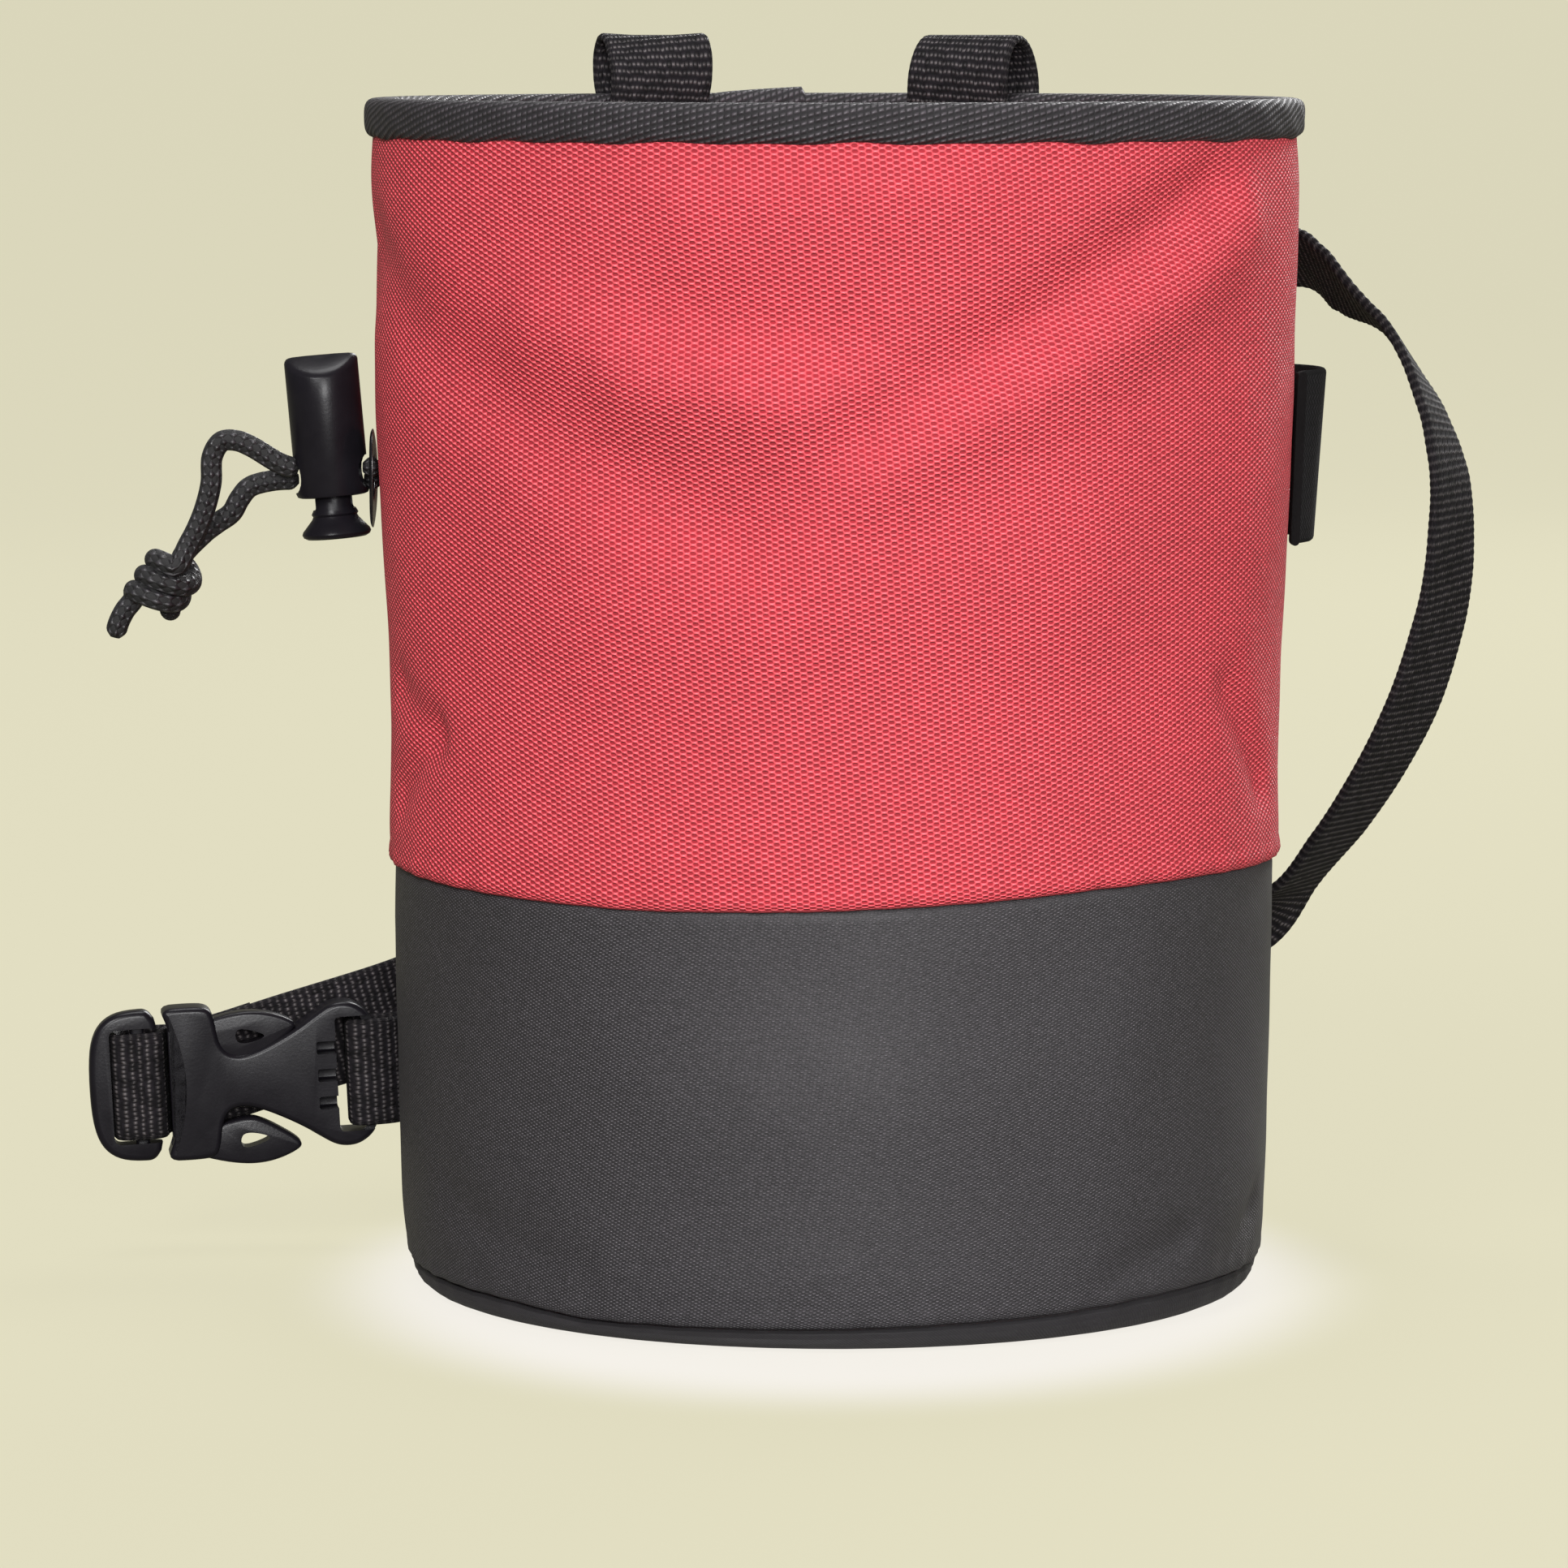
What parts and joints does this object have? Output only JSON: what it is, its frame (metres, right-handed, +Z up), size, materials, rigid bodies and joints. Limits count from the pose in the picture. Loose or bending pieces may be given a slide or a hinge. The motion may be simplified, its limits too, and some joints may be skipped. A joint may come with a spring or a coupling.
{
  "type": "chalk_bag",
  "caption": "Climbing chalk bag, 127 mm round by 171 mm tall, red over charcoal, black rim binding, drawcord with push lock, brush loop and buckled waist belt",
  "frame": {"origin": "middle of the base panel's flat underside, on the floor", "axes": "+Z up along the bag's axis, +X to the right seen from the front, -Y out of the front; the buckle and cord lock are on the -X side and the brush loop on the +X side"},
  "size_m": [0.1932, 0.1304, 0.1699],
  "materials": {
    "red_weave": "nubby basket-weave polyester, red, matt",
    "charcoal_coated": "fine ribbed coated fabric, charcoal grey, slightly glossy",
    "black_tape": "twill bias tape, black, matt",
    "black_webbing": "ribbed polyester webbing, black, matt",
    "black_elastic": "knitted elastic band, black, matt",
    "black_plastic": "moulded nylon, black, satin",
    "eyelet_gloss": "glossy black moulded flange",
    "black_cord": "braided polyester cord, black"
  },
  "bodies": {
    "bag": {"upper_body": "red_weave", "lower_body": "charcoal_coated", "base_panel": "charcoal_coated", "rim_binding": "black_tape", "carry_loop_left": "black_webbing", "carry_loop_right": "black_webbing", "brush_loop": "black_elastic", "belt_keeper": "black_webbing", "cord_eyelet": "eyelet_gloss", "lock_barrel": "black_plastic", "drawcord_upper": "black_cord", "drawcord_lower": "black_cord", "drawcord_knot": "black_cord", "buckle_female": "black_plastic", "buckle_male": "black_plastic", "belt_webbing": "black_webbing"},
    "plunger": {"lock_plunger": "black_plastic"}
  },
  "joints": [
    {"name": "plunger_press", "type": "slide", "parent": "bag", "child": "plunger", "axis": [-0.0872, 0, 0.9962], "range_m": [0, 0.0028], "stiffness_N_per_m": 400}
  ]
}
